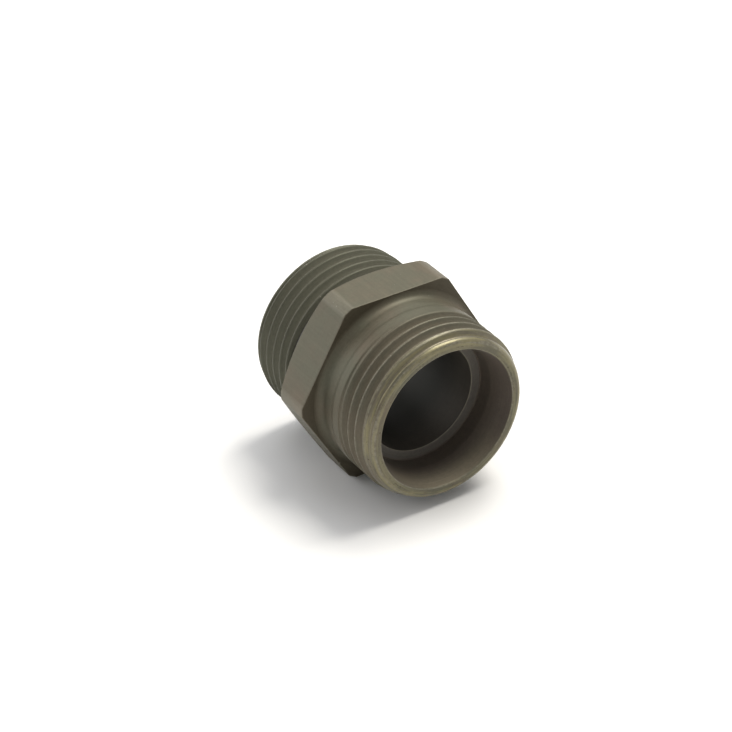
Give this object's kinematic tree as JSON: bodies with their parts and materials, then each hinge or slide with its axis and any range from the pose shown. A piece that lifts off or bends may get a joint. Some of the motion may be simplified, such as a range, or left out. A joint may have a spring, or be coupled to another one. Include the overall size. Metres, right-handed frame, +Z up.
{
  "type": "hex nipple",
  "caption": "Hex nipple: turned steel coupling body with a hexagon between two male threads, a coned tube socket at one end, a through bore, and a seal ring behind the hexagon.",
  "frame": {"origin": "on the bore axis at mid-length, which is the centre of the overall box", "axes": "+X along the bore towards the coned tube socket, +Y across the turned corners of the hexagon, +Z up, square to the flat of the hexagon that faces up as the part lies on a flat"},
  "size_m": [0.0342, 0.0362, 0.032],
  "materials": {
    "body_steel": "dull olive-grey passivated machined steel, brassy where the edges are rubbed",
    "seal_rubber": "matt black elastomer"
  },
  "bodies": {
    "root": {"nipple_body": "body_steel", "seal_ring": "seal_rubber"}
  },
  "joints": []
}
